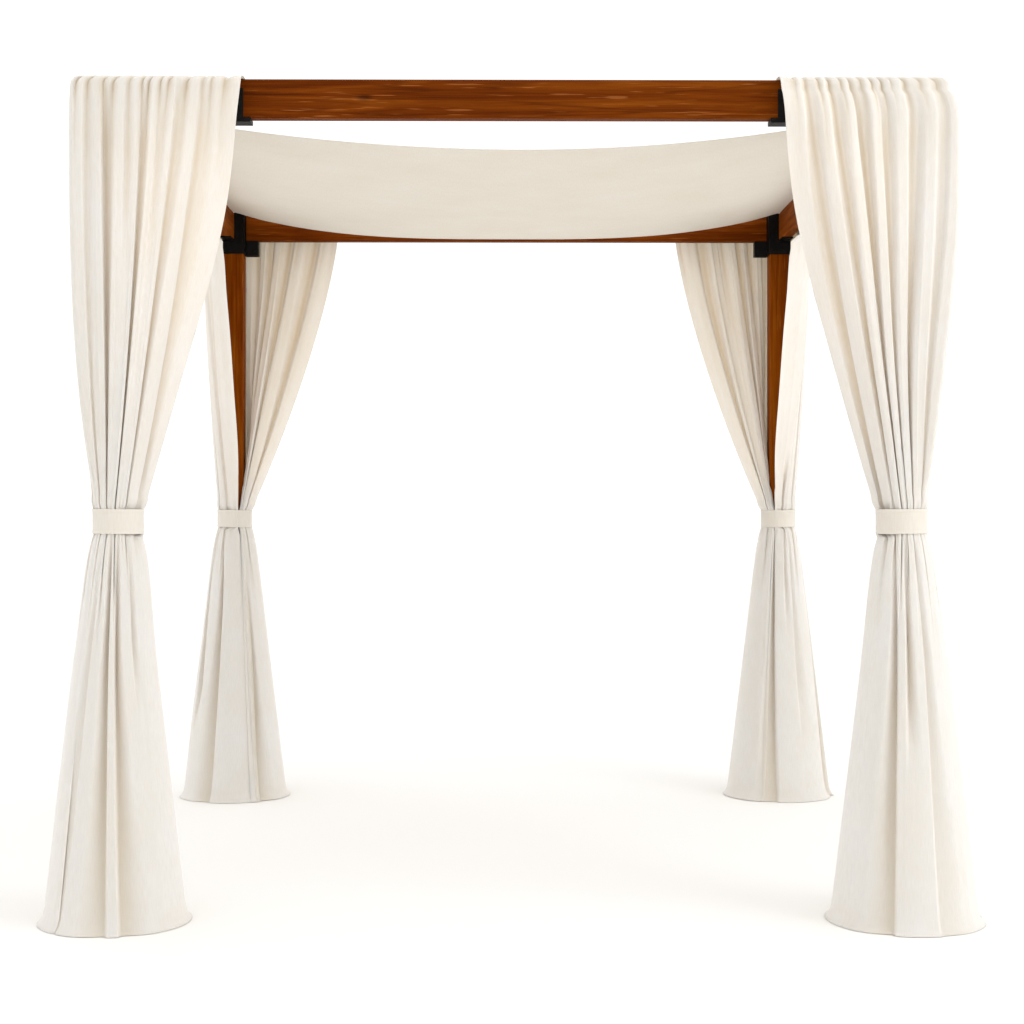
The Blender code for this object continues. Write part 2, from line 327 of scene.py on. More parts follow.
# Shares of the width at which the fine pleats of the two front headings lie, and the number of the others
PLEATS = {
    "front_curtain_left": (
        0.098, 0.175, 0.222, 0.317, 0.426, 0.474, 0.542, 0.583, 0.657, 0.752, 0.814, 0.903, 0.969,
    ),
    "front_curtain_right": (
        0.081, 0.145, 0.224, 0.285, 0.355, 0.407, 0.477, 0.540, 0.600, 0.654, 0.735, 0.826, 0.920,
    ),
    "rear_curtain": 15,
    "left_curtain": 13,
    "right_curtain": 13,
}

# Tie band: a strap with a raised hem and a sewn groove along both edges, and its end lapped over its start
STRAP_THICKNESS = 0.0022
STRAP_INSET = 0.0035
STRAP_HEM = 0.0105
STRAP_HEM_LIFT = 0.0009
STRAP_GROOVE = 0.0007
STRAP_LAP = math.radians(38)
STRAP_LAP_LIFT = 0.0030
STRAP_RIPPLE = 0.0005
STRAP_SWAY = 0.0012
STRAP_COLUMNS = 150

# Canopy: how it lies and sags, its hem with a groove beside it, the pulls that run from the beams, its
# broad waves, and how far its front and rear edges hang lower and wander
CANOPY_THICKNESS = 0.0014
CANOPY_LIFT = 0.0018
CANOPY_SAG = 0.120
CANOPY_POWER = (1.95, 2.80)
CANOPY_HEM, CANOPY_HEM_DROP, CANOPY_GROOVE = 0.022, 0.0012, 0.0010
CANOPY_PULLS, CANOPY_WAVES = 0.0035, 0.0030
CANOPY_EDGE_DROP, CANOPY_EDGE_WANDER = 0.006, 0.004
CANOPY_COLUMNS, CANOPY_ROWS = 150, 44

# Bolts of a corner bracket: the place inwards from the post's axis along X and along Y, the height above
# the beam's underside, which way the head looks, inwards along X and along Y, and the washer's radius
BOLTS = (
    (0.094, 0.005, -0.046, (0, 1), 0.0085),
    (0.022, CAP_HALF, -0.048, (0, 1), 0.0085),
    (-0.022, CAP_HALF, -0.048, (0, 1), 0.0085),
    (CAP_HALF, 0.018, -0.048, (1, 0), 0.0085),
    (-CAP_HALF, 0.030, 0.016, (-1, 0), 0.0110),
    (0, -CAP_HALF, 0.016, (0, -1), 0.0110),
)
# Sides of a round bolt, and its profile in parts of that radius: how far out, how high, whether six-sided
BOLT_SIDES = 24
BOLT_PROFILE = (
    (0.95, 0.00, 0),
    (0.95, 0.10, 0),
    (0.80, 0.16, 0),
    (0.52, 0.16, 1),
    (0.52, 0.50, 1),
    (0.46, 0.56, 1),
    (0.00, 0.58, 1),
)

# Screen colours of the wood's rings, dark to pale, by the way the grain runs: the beams of the front and
# the rear, the side beams and the posts. The side beams and the posts are paler as painted light, which
# makes up for the shade in which they stand
WOOD_TONES = {
    "X": ((92, 37, 0), (107, 47, 1), (117, 55, 3), (131, 67, 9)),
    "Y": ((118, 56, 10), (134, 68, 16), (145, 77, 22), (158, 88, 30)),
    "Z": ((124, 55, 0), (140, 67, 3), (151, 77, 6), (165, 91, 14)),
}
WHITE = (255, 255, 255)

FLOOR_HALF = 60.0
CAMERA_PLACE = (-0.042, -7.016, 1.325)
CAMERA_TURN = math.radians(-0.46)
CAMERA_LENS = 62.1


def linear(red, green, blue):
    """Linear colour of a screen colour given from 0 to 255."""
    share = np.array([red, green, blue]) / 255
    channels = np.where(share <= 0.04045, share / 12.92, ((share + 0.055) / 1.055) ** 2.4)
    return (*channels.tolist(), 1.0)


def smooth(start, end, value):
    """0 at start and before it, 1 at end and past it, and a smooth step between them."""
    share = np.clip((value - start) / (end - start), 0, 1)
    return share * share * (3 - 2 * share)


def curve(knots, value):
    """Smooth curve through (place, height) knots: one cubic between each two, with matching slopes."""
    place, height = np.array(knots, float).T
    slope = np.gradient(height, place)
    left = np.clip(np.searchsorted(place, value, side="right") - 1, 0, len(place) - 2)
    step = place[left + 1] - place[left]
    share = np.clip((value - place[left]) / step, 0, 1)
    rest = 1 - share
    start = height[left] * (1 + 2 * share) * rest**2 + slope[left] * step * share * rest**2
    end = height[left + 1] * (3 - 2 * share) * share**2 - slope[left + 1] * step * rest * share**2
    return start + end


def sampled(grid, column):
    """Values of a grid's rows at places between its columns, each row at its own places."""
    left = np.clip(np.floor(column).astype(int), 0, grid.shape[1] - 2)
    share = column - left
    return np.take_along_axis(grid, left, 1) * (1 - share) + np.take_along_axis(grid, left + 1, 1) * share


def wander(seed, across, down, waves=7):
    """Gentle unevenness between about -1 and 1: a sum of sine waves of random direction and phase."""
    draw = np.random.default_rng(seed)
    total = 0
    for _ in range(waves):
        pace_across, pace_down = draw.uniform(0.4, 1.0), draw.uniform(-1.0, 1.0)
        phase = draw.uniform(0, 6.28)
        total = total + np.sin(2 * np.pi * (pace_across * across + pace_down * down) + phase)
    return total / math.sqrt(waves * 2)


def in_scene(name, data):
    """New object of a mesh, light or camera, linked to the scene."""
    obj = bpy.data.objects.new(name, data)
    bpy.context.scene.collection.objects.link(obj)
    return obj


def grid_faces(rows, columns, closed=False):
    """Quads between the points of a grid. A closed grid joins its last column to its first."""
    number = np.arange(rows * columns).reshape(rows, columns)
    following = np.roll(number, -1, axis=1)
    if not closed:
        number, following = number[:, :-1], following[:, :-1]
    return np.stack([number[:-1], following[:-1], following[1:], number[1:]], axis=-1).reshape(-1, 4)


def grid_object(name, points, flat_map, flipped=False):
    """Object whose quads join a grid of points, rows by columns.

    flat_map is the place of each point on the flat cloth, in metres, and becomes the UV map.
    """
    quads = grid_faces(*points.shape[:2])
    if flipped:
        quads = quads[:, ::-1]
    mesh = bpy.data.meshes.new(name)
    mesh.from_pydata(points.reshape(-1, 3).tolist(), [], quads.tolist())
    layer = mesh.uv_layers.new(name="flat_cloth")
    corners = np.empty(len(mesh.loops), np.int32)
    mesh.loops.foreach_get("vertex_index", corners)
    layer.data.foreach_set("uv", flat_map.reshape(-1, 2)[corners].astype(np.float32).ravel())
    mesh.shade_smooth()
    return in_scene(name, mesh)


def thicken(obj, thickness, offset=-1.0):
    """Gives a sheet its thickness, inwards or, at offset 0, to both sides."""
    shell = obj.modifiers.new("cloth_thickness", "SOLIDIFY")
    shell.thickness = thickness
    shell.offset = offset


def finish_piece(obj, material, replaced=()):
    """Gives a piece its material and its body, and hides the solids that it stands for."""
    obj.data.materials.append(material)
    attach(obj, "root")
    if replaced:
        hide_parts(*replaced)


def to_world(corner, along, depth, height, swapped=False):
    """Points of a corner's plan in the frame. A side curtain's plan has its two numbers swapped."""
    side, end = CORNERS[corner]
    if swapped:
        along, depth = depth, along
    return np.stack([side * (POST_CENTRE - along), end * (POST_CENTRE - depth), height], axis=-1)


def curtain_rows():
    """Heights of a curtain's rows below the heading, closer together beside the band and at the hem."""
    first = FRAME_HEIGHT + HEADING[-1][1]
    upper = first + (BAND_TOP - first) * np.sin(np.linspace(0, np.pi / 2, UPPER_ROWS)[1:]) ** 1.15
    band = np.linspace(BAND_TOP, BAND_BOTTOM, BAND_ROWS)[1:]
    fall = np.linspace(0, 1, SKIRT_ROWS)[1:]
    skirt = BAND_BOTTOM + (HEM_FLOOR_GAP - BAND_BOTTOM) * (1 - (1 - fall**1.25) ** 1.35)
    return np.concatenate([upper, band, skirt])


def skirt_radius(height):
    """Radius below the band: an even flare, pinched under the band, with a lip turned out at the floor."""
    below = BAND_BOTTOM - height
    even = SKIRT_AT_FLOOR - SKIRT_SLOPE * height
    pinch = (SKIRT_AT_FLOOR - SKIRT_SLOPE * BAND_BOTTOM - GATHER_RADIUS) * np.exp(-below / SKIRT_PINCH)
    return even - pinch + HEM_LIP * np.exp(-height / HEM_LIP_HEIGHT)


def fold_table(name, axis, seen_from_inside):
    """Rows of FOLD_LINES between the curtain's free edge and its outer corner."""
    slit = 90 - SLIT_ANGLE - SLIT_HALF_ANGLE if axis == "Y" else SLIT_ANGLE - SLIT_HALF_ANGLE
    free = TURNED_FREE_ANGLE if seen_from_inside else slit
    corner = (1 + SEAM_TUCK_SHARE, SEAM_ANGLE - SEAM_TUCK) if axis == "Y" else (1.0, SEAM_ANGLE)
    return np.array(((0.0, free, free, 0, 0, 0, 0), *FOLD_LINES[name], (*corner, corner[1], 0, 0, 0, 0)))


Cloth = namedtuple("Cloth", "height fall below down phase share angle tucked turned_back at_turn")


def lay_out(folds, axis, seen_from_inside):
    """A curtain's rows, from the heading to the hem, and columns, from the free edge to the outer corner.

    For each point: its height; its fall from the beam's top, 0, to the band's top, 1; how far below the
    band's underside, 0, it is on the way to the floor, 1; its way down the cloth in metres; its phase,
    which numbers the columns by folds; its share of the width; its angle round the post; how far it is
    tucked under the curtain beside it; whether it is in the part that is turned back; and how near it is
    to that turn. A curtain on the side beam passes under its neighbour at the slit and at the seam.
    """
    count = len(folds) - 1
    heading, rows = np.array(HEADING), curtain_rows()
    height = np.concatenate([FRAME_HEIGHT + heading[:, 1], rows])[:, None]
    fall = np.clip((FRAME_HEIGHT - height) / (FRAME_HEIGHT - BAND_TOP), 0, 1)
    below = np.clip(BAND_BOTTOM - height, 0, None) / BAND_BOTTOM
    steps = np.linalg.norm(np.diff(heading[FLAT_HEADING_ROWS - 1 :], axis=0), axis=1)
    path = steps.cumsum()
    hanging = path[-1] + FRAME_HEIGHT + heading[-1, 1] - rows
    down = np.concatenate([np.zeros(FLAT_HEADING_ROWS), path, hanging])[:, None]
    phase = np.linspace(0, count, COLUMNS + 1)[None, :] + 0 * height
    share, at_band, at_hem = (np.interp(phase, np.arange(count + 1), folds[:, place]) for place in range(3))
    under = axis == "Y"
    lap = smooth(0, 0.07, below) * np.exp(-((phase / 0.5) ** 2)) * under
    at_seam = smooth(0.30, 0.05, count - phase) * under
    angle = at_band + (at_hem - at_band) * smooth(0, 0.5, below)
    return Cloth(
        height=height,
        fall=fall,
        below=below,
        down=down,
        phase=phase,
        share=share,
        angle=angle + SLIT_LAP * lap,
        tucked=np.maximum(lap, at_seam),
        turned_back=smooth(0.54, 0.62, share) * seen_from_inside,
        at_turn=smooth(0.46, 0.56, share) * seen_from_inside * smooth(0.45, 0.85, fall),
    )


def hanging_line(share, depth, reach):
    """Plan of the heading: straight at one depth outside the beam, then an eighth of a turn."""
    straight = reach + depth - CORNER_ROUNDING
    length = share * (straight + CORNER_ROUNDING * np.pi / 4)
    bend = np.clip((length - straight) / CORNER_ROUNDING, 0, None)
    centre = CORNER_ROUNDING - depth
    along = np.where(bend > 0, centre - CORNER_ROUNDING * np.sin(bend), reach - length)
    return along, centre - CORNER_ROUNDING * np.cos(bend)


def unfolded_plan(cloth, axis, seen_from_inside, reach, bulge):
    """Plan of a curtain without its folds, from the hanging line at the beam to a circle at the band.

    Each column blends from the line into the circle by its own power of the fall, the free edge soon and
    the outer corner late. A curtain seen from outside has a free edge with its own curve, under the beam
    and round to the slit. The part that is turned back is drawn in from the circle.
    """
    height, fall, share = cloth.height, cloth.fall, cloth.share
    hang_depth = HANG_DEPTH + bulge * smooth(0, 0.10, fall) * (1 - smooth(0.25, 0.80, fall))
    hang_depth[: len(HEADING), 0] = -np.array(HEADING)[:, 0]
    line_along, line_depth = hanging_line(share, np.maximum(hang_depth, CORNER_ROUNDING), reach)
    line_depth = line_depth + np.maximum(CORNER_ROUNDING - hang_depth, 0)

    at_band, in_skirt = TURNED_BACK_DEPTH
    inset = at_band + (in_skirt - at_band) * smooth(0, 0.1, cloth.below)
    inset = inset * cloth.turned_back * smooth(-75, -25, cloth.angle)
    puff = PUFF * np.exp(-(((height - BAND_TOP - PUFF_RISE) / PUFF_WIDTH) ** 2))
    radius = np.where(height < BAND_BOTTOM, skirt_radius(height), GATHER_RADIUS + puff) - inset
    turn = np.radians(cloth.angle)
    along = line_along + fall ** curve(ALONG_POWER, share) * (radius * np.cos(turn) - line_along)
    depth = line_depth + fall ** curve(DEPTH_POWER, share) * (radius * np.sin(turn) - line_depth)
    if seen_from_inside:
        return along, depth
    edge_at_band = GATHER_RADIUS * np.sin(turn[0, 0])
    edge_depth = curve((*FREE_EDGE[axis][:-1], (1, edge_at_band)), fall)
    edge_depth = edge_depth + (HANG_DEPTH - hang_depth) * (1 - smooth(0.03, 0.15, fall))
    near_edge = np.exp(-((share / EDGE_WIDTH) ** 2)) * (fall > 0) * (height >= BAND_BOTTOM)
    return along, depth + near_edge * (edge_depth - depth)


def broad_folds(cloth, folds, sharp_side, seed):
    """Depth of the broad folds, their section, and how far the cloth slides over them.

    A crease lies on every whole number of the phase. It is a dent with a steep and a gentle flank, and
    the ridges beside it are crowned. The cloth on both sides slides towards it, further on the steep
    side, so that the ridges close over it. Each fold has its own depth above and below the band, and
    fades in and out where its row of the table says.
    """
    fall, below, is_skirt = cloth.fall, cloth.below, cloth.height < BAND_BOTTOM
    line = np.clip(np.round(cloth.phase), 1, len(folds) - 2).astype(int)
    offset = cloth.phase - line
    off, steep = np.abs(offset), offset * sharp_side < 0
    place = fall + below
    start, end, upper, lower = (folds[line, column] for column in range(3, 7))
    present = np.where(start > 0, smooth(start, start + FADE_IN, place), 1)
    present = present * (1 - smooth(end - FADE_OUT, end, place))
    strength = upper + (lower - upper) * smooth(0, 0.1, below)
    present = present * (1 - CALM_AT_TURN * cloth.at_turn) * strength
    amount = np.where(is_skirt, curve(SKIRT_DEPTH, below), curve(FOLD_DEPTH, fall)) * present
    uneven = 1 + UNEVEN_DEPTH * wander(seed, cloth.phase * 0.3, cloth.height * 0.4)
    amount = amount * np.clip(uneven, 0.5, 1.4)

    upper_flank = np.where(steep, curve(SHARP_FLANK, fall), curve(PLAIN_FLANK, fall))
    close = np.where(is_skirt, curve(SKIRT_FLANK, below), upper_flank)
    on_flank = smooth(0.04, 0.27, off) * (1 - smooth(0.30, 0.5, off))
    slide = -np.sign(offset) * close * on_flank * np.clip(present, 0, 1)

    upper_floor = UPPER_FLOOR[0] + UPPER_FLOOR[1] * (1 - smooth(0.2, 0.7, fall))
    floor = np.where(is_skirt, SKIRT_FLOOR[0] + SKIRT_FLOOR[1] * smooth(0, 0.7, below), upper_floor)
    upper_width = np.where(steep, UPPER_FLANKS[0], UPPER_FLANKS[1] - GENTLE_LOSS * fall)
    width = np.where(is_skirt, np.where(steep, *SKIRT_FLANKS), upper_width)
    dent = 1 - smooth(floor, floor + width, off)
    crown = CROWN * smooth(0.22, 0.5, off)
    crease = 1 - smooth(0.0, CREASE_WIDTH, off)
    return amount, dent, crown, crease, slide


def fine_pleats(name, cloth, draw):
    """Depth of the fine pleats, and how near each point is to a pleat's bottom.

    Pleats are deepest in the gathered heading and come back beside the band. Each has its own size.
    """
    lines = PLEATS.get(name, PLEATS.get(name.rsplit("_", 1)[0]))
    if isinstance(lines, int):
        lines = (np.arange(lines) + 0.5 + draw.uniform(-PLEAT_STRAY, PLEAT_STRAY, lines)) / lines
    number = np.interp(cloth.share, (-lines[0], *lines, 2 - lines[-1]), np.arange(len(lines) + 2))
    nearest = np.round(number).astype(int)
    pleat = (1 - 2 * np.abs(number - nearest)) ** (2 + 1.5 * (1 - smooth(0.03, 0.12, cloth.down)))
    size = draw.uniform(*PLEAT_SIZES, int(number.max()) + 2)[nearest]
    beside_band = np.maximum(np.maximum(cloth.height - BAND_TOP, BAND_BOTTOM - cloth.height), 0)
    pleats = curve(PLEAT_DEPTH, cloth.down) * size * (1 - smooth(0.0, 0.10, cloth.below))
    at_band = PLEAT_AT_BAND * size * np.exp(-beside_band / PLEAT_AT_BAND_HEIGHT)
    pleats = pleats + at_band * (cloth.fall > 0.8)
    return pleats * (1 - CALM_AT_TURN * cloth.at_turn), pleat


def skirt_valleys(name, cloth):
    """Depth of the skirt's valleys at each point, and how near the point is to a valley's bottom.

    A valley falls in smooth steps from both sides to a line that runs down the skirt. Its gentle side
    widens from the band to the hem, and its steep side hardly does.
    """
    height, below = cloth.height, cloth.below
    near = 0 * cloth.angle
    for at_band, at_hem, end, size, steep_side in SKIRT_VALLEYS[name]:
        bottom = at_band + (at_hem - at_band) * below
        way = np.radians(cloth.angle - bottom) * skirt_radius(height) * steep_side
        steep, gentle = STEEP_SIDE[0] + STEEP_SIDE[1] * below, GENTLE_SIDE[0] + GENTLE_SIDE[1] * below**1.8
        width = np.where(way > 0, steep, gentle)
        dip = 1 - smooth(0, width, np.abs(way))
        near = np.maximum(near, dip * size * (1 - smooth(end - 0.25, end, below)))
    near = near * (height < BAND_BOTTOM)
    return near * curve(VALLEY_DEPTH, below), near


def curtain_points(name, corner, axis, seed):
    """Plan, heights, shares of the width and painted shade of one curtain, each a grid of rows by columns.

    The curtain's unfolded plan is pushed out along its own normal by the folds, pleats and valleys, after
    its points have slid along it towards the creases. The painted shade, darkening of the cloth's colour
    where shade falls in the folds, is 0 on the ridges and 1 in the creases.

    A curtain seen from inside turns back on itself where it meets the slit: the free part of its width
    lies outermost on the gather, and the rest runs back under it to the outer corner.
    """
    side, end = CORNERS[corner]
    seen_from_inside = end > 0 and axis == "X"
    outward = -1 if seen_from_inside else 1
    reach = PANEL_REACH[corner.split("_")[0] if axis == "X" else "side"]
    sharp_side = side if end < 0 and axis == "X" else 1
    draw = np.random.default_rng(seed)
    folds = fold_table(name, axis, seen_from_inside)
    cloth = lay_out(folds, axis, seen_from_inside)
    height, fall, below, down, phase = cloth.height, cloth.fall, cloth.below, cloth.down, cloth.phase
    count = len(folds) - 1
    ends = smooth(0, 0.6, phase) * smooth(0, 0.6, count - phase)

    amount, dent, crown, crease, slide = broad_folds(cloth, folds, sharp_side, seed)
    pleats, pleat = fine_pleats(name, cloth, draw)
    valley, near_valley = skirt_valleys(name, cloth)
    push = outward * amount * (crown - dent)
    if seen_from_inside:
        push = push - INSIDE_SET_IN * amount * ends * (1 - smooth(0.65, 0.95, fall))
    push = push - outward * pleats * pleat * smooth(0, 0.3, phase) * smooth(0, 0.3, count - phase)
    push = push + valley * (1 - 2 * cloth.turned_back if seen_from_inside else -1)
    push = push - TUCK_DEPTH * cloth.tucked
    crumple = CRUMPLE * wander(seed + 2, phase * 1.3, height * 1.1, waves=9)
    push = push + crumple * smooth(0.02, 0.3, down) * ends
    free_to_slide = smooth(0, 0.5, down) * (1 - smooth(0.8, 1, fall)) + 0.5 * smooth(0.1, 0.4, below)
    slide = (slide + UNEVEN_PLACE * wander(seed + 1, phase * 0.22, height * 0.5) * free_to_slide) * ends

    along, depth = unfolded_plan(cloth, axis, seen_from_inside, reach, HANG_BULGE[corner])
    forward_along, forward_depth = np.gradient(along, axis=1), np.gradient(depth, axis=1)
    length = np.hypot(forward_along, forward_depth)
    column = np.clip(phase + slide, 0, count) * COLUMNS / count
    tangent_along = sampled(forward_along / length, column)
    tangent_depth = sampled(forward_depth / length, column)
    slope = np.gradient(np.array(HEADING), axis=0)
    tilt = np.zeros_like(height)
    tilt[: len(HEADING), 0] = np.arctan2(-slope[:, 0], -slope[:, 1])
    along = sampled(along, column) - tangent_depth * push * np.cos(tilt)
    depth = sampled(depth, column) + tangent_along * push * np.cos(tilt)

    spread = np.where(height < BAND_BOTTOM, 1 + (SKIRT_SIZE[corner] - 1) * smooth(0, 0.3, below), 1)
    along, depth = along * spread, depth * spread
    from_axis = np.maximum(np.maximum(np.abs(along), np.abs(depth)), 0.001)
    away = np.maximum((HALF_POST + POST_CLEARANCE) / from_axis, 1)
    away[: len(HEADING)] = 1
    # Painted shade: the cloth's colour is darkened in the dents and creases of the folds, in the skirt's
    # valleys and in the fine pleats, where shade falls
    painted_shade = np.clip(amount / FULL_SHADE_FOLD, 0, 1) * (DENT_SHADE * dent + CREASE_SHADE * crease)
    painted_shade = painted_shade + VALLEY_SHADE * near_valley * smooth(0, 0.3, below)
    painted_shade = painted_shade + np.clip(pleats / FULL_SHADE_PLEAT, 0, 1) * pleat
    raised = height + push * np.sin(tilt)
    return along * away, depth * away, raised, sampled(cloth.share, column), np.clip(painted_shade, 0, 1)


def make_curtain(name, corner, axis, weave, seed):
    """One curtain of the two at a corner, on the beam along X or the beam along Y."""
    side, end = CORNERS[corner]
    along, depth, height, share, painted_shade = curtain_points(name, corner, axis, seed)
    if end < 0:
        outwards = SKIRT_SHIFT * smooth(0, 0.5, BAND_BOTTOM - height)
        along, depth = (along - outwards, depth) if axis == "X" else (along, depth - outwards)
    points = to_world(corner, along, depth, height, swapped=axis == "Y")
    flat = CURTAIN_FLAT[name.rsplit("_", 1)[0]]
    down = np.concatenate([np.zeros((1, share.shape[1])), np.abs(np.diff(height, axis=0))]).cumsum(axis=0)
    flat_map = np.stack([share * flat[0], down], axis=-1)
    mirrored = side * end * (1 if axis == "X" else -1) < 0
    obj = grid_object(name + "_cloth", points, flat_map, flipped=mirrored)
    # Painted shade of the folds, stored on the points for the material to darken the cloth with
    tone = obj.data.attributes.new("painted_shade", "FLOAT", "POINT")
    tone.data.foreach_set("value", painted_shade.astype(np.float32).ravel())
    thicken(obj, CLOTH_THICKNESS)
    finish_piece(obj, weave, (name,))


def make_tie_band(corner, weave):
    """Flat strap wound once round the gathered cloth, with its end lapped over its start.

    The profile down the strap is flat, with a raised hem along both edges and a sewn groove beside
    each hem. It is carried round a circle whose radius grows by one layer over the lap.
    """
    side, end = CORNERS[corner]
    half = (BAND_TOP - BAND_BOTTOM) / 2
    whole_turn = 2 * np.pi + STRAP_LAP
    start = math.atan2(1, -side) - STRAP_LAP / 2
    turn = start + np.linspace(0, whole_turn, STRAP_COLUMNS)[None, :]
    wound = (turn - start) / whole_turn
    hem_rows = np.array([0, 0.0010, 0.004, 0.008, STRAP_HEM - 0.0012, STRAP_HEM, STRAP_HEM + 0.0012, 0.016])
    middle_rows = np.linspace(-half + 0.022, half - 0.022, 8)
    level = np.concatenate([-half + hem_rows, middle_rows, half - hem_rows[::-1]])[:, None]
    from_edge = half - np.abs(level)
    is_hem = 1 - smooth(STRAP_HEM - 0.001, STRAP_HEM + 0.002, from_edge)
    profile = STRAP_HEM_LIFT * is_hem * smooth(0, 0.0012, from_edge)
    profile = profile - STRAP_GROOVE * np.exp(-(((from_edge - STRAP_HEM) / 0.0009) ** 2))
    lap_start, lap_full = 1 - 1.5 * STRAP_LAP / whole_turn, 1 - 0.8 * STRAP_LAP / whole_turn
    layer = STRAP_LAP_LIFT * smooth(lap_start, lap_full, wound)
    ripple = STRAP_RIPPLE * wander(len(corner) + side, turn * 0.6, level * 9)
    radius = BAND_OUTSIDE - STRAP_INSET + profile + layer + ripple
    sway = STRAP_SWAY * np.sin(turn + side)
    x = side * POST_CENTRE + radius * np.cos(turn)
    y = end * POST_CENTRE + radius * np.sin(turn)
    z = (BAND_BOTTOM + BAND_TOP) / 2 + level + sway
    length = whole_turn * BAND_OUTSIDE
    flat_map = np.stack([wound * length + 0 * level, level + half + 0 * turn], axis=-1)
    obj = grid_object(f"tie_band_{corner}_cloth", np.stack([x, y, z], axis=-1), flat_map)
    thicken(obj, STRAP_THICKNESS)
    finish_piece(obj, weave, (f"tie_band_{corner}",))


def make_canopy(weave):
    """One sheet that lies on the side beams' tops and sags between them.

    Its height falls below the beams' tops by the sag times 1 minus a power of the distance from the
    middle, a lower power at the front edge than at the rear. Hems along the front and rear edges are
    doubled, and faint pulls run from the beams.
    """
    low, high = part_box("canopy")
    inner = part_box("beam_right")[0].x
    length = high.y - low.y
    on_beam = np.linspace(inner + 0.004, high.x, 5)
    hanging = inner * np.sin(np.linspace(-np.pi / 2, np.pi / 2, CANOPY_COLUMNS))
    across = np.concatenate([-on_beam[::-1], hanging, on_beam])[None, :]
    hem_rows = np.array([0, 0.0012, 0.003, 0.008, 0.014])
    edge = np.concatenate([hem_rows, CANOPY_HEM + np.array([-0.002, 0, 0.002]), [0.030]])
    middle = np.linspace(0.05, length - 0.05, CANOPY_ROWS)
    along = np.concatenate([edge, middle, length - edge[::-1]])[:, None]
    share = np.clip(np.abs(across) / inner, 0, 1)
    front_power, rear_power = CANOPY_POWER
    power = front_power + (rear_power - front_power) * along / length
    height = FRAME_HEIGHT + CANOPY_LIFT - CANOPY_SAG * (1 - share**power)
    from_edge = np.minimum(along, length - along)
    is_hem = 1 - smooth(CANOPY_HEM - 0.001, CANOPY_HEM + 0.001, from_edge)
    hem_line = CANOPY_HEM_DROP * smooth(0, 0.0012, from_edge) * is_hem
    hem_line = hem_line - CANOPY_GROOVE * np.exp(-(((from_edge - CANOPY_HEM) / 0.0012) ** 2))
    free = smooth(0, 0.12, 1 - share)
    pulls = CANOPY_PULLS * wander(71, along * 2.6, share * 0.35) * np.exp(-(1 - share) / 0.22) * free
    waves = CANOPY_WAVES * wander(72, across * 0.55, along * 0.5) * free
    edge_drop = CANOPY_EDGE_DROP * np.exp(-from_edge / 0.10) * (1 - share**2)
    z = height - hem_line * free + pulls + waves - edge_drop
    edge_wander = CANOPY_EDGE_WANDER * wander(73, across * 0.4, 0 * along) * np.exp(-along / 0.1)
    y = low.y + along + edge_wander * free
    points = np.stack([across + 0 * along, y + 0 * across, z], axis=-1)
    flat_map = np.stack([across + 0 * along, along + 0 * across], axis=-1)
    obj = grid_object("canopy_cloth_sheet", points, flat_map, flipped=True)
    thicken(obj, CANOPY_THICKNESS, offset=0.0)
    finish_piece(obj, weave, ("canopy",))


def bolt_head(centre, direction, radius):
    """Domed round washer and hexagon head: BOLT_PROFILE turned about the bolt's axis."""
    out, rise, is_hexagon = np.array(BOLT_PROFILE).T[:, :, None]
    turn = np.linspace(0, 2 * np.pi, BOLT_SIDES + 1)[None, :-1]
    hexagon = math.cos(math.pi / 6) / np.cos((turn + math.pi / 6) % (math.pi / 3) - math.pi / 6)
    outwards = radius * out * np.where(is_hexagon == 1, hexagon, 1.0)
    direction = np.array(direction, float)
    side = np.array([direction[1], direction[2], direction[0]])
    other = np.cross(direction, side)
    ring = np.cos(turn)[..., None] * side + np.sin(turn)[..., None] * other
    return np.array(centre) + outwards[..., None] * ring + (radius * rise)[..., None] * direction


def make_bolts(corner, steel):
    """Bolt heads on a corner bracket's inward faces and bolt ends on its outer faces, as one piece."""
    side, end = CORNERS[corner]
    post, inward = np.array([side, end]) * POST_CENTRE, np.array([-side, -end])
    points, quads = [], []
    for *place, rise, looks, radius in BOLTS:
        centre = (*(post + inward * place), BEAM_BOTTOM + rise)
        bolt = bolt_head(centre, (*(inward * looks), 0), radius)
        rows, columns = bolt.shape[:2]
        quads.append(grid_faces(rows, columns, closed=True) + len(points) * rows * columns)
        points.append(bolt.reshape(-1, 3))
    mesh = bpy.data.meshes.new(f"bolts_{corner}")
    mesh.from_pydata(np.concatenate(points).tolist(), [], np.concatenate(quads).tolist())
    finish_piece(in_scene(f"bolts_{corner}", mesh), steel)


def tree_of(name):
    """New material with its node tree and its shader."""
    material = bpy.data.materials.new(name)
    material.use_nodes = True
    tree = material.node_tree
    return material, tree, tree.nodes["Principled BSDF"]


def node(tree, kind, inputs=None, **settings):
    """Node of a kind, with its settings, and each named input filled by a value or linked to a socket."""
    made = tree.nodes.new(f"ShaderNode{kind}")
    for setting, value in settings.items():
        setattr(made, setting, value)
    for socket, value in (inputs or {}).items():
        if isinstance(value, bpy.types.NodeSocket):
            tree.links.new(value, made.inputs[socket])
        else:
            made.inputs[socket].default_value = value
    return made


def noise(tree, vector, scale, detail, roughness=0.5, distortion=0.0):
    """Value of a noise pattern."""
    inputs = {"Vector": vector, "Scale": scale, "Detail": detail, "Roughness": roughness}
    return node(tree, "TexNoise", {**inputs, "Distortion": distortion}).outputs["Fac"]


def stretched(tree, place, grain, across, along):
    """Coordinates scaled by one number across the grain and by another along it."""
    scale = [across] * 3
    scale["XYZ".index(grain)] = along
    return node(tree, "Mapping", {"Vector": place, "Scale": scale}).outputs["Vector"]


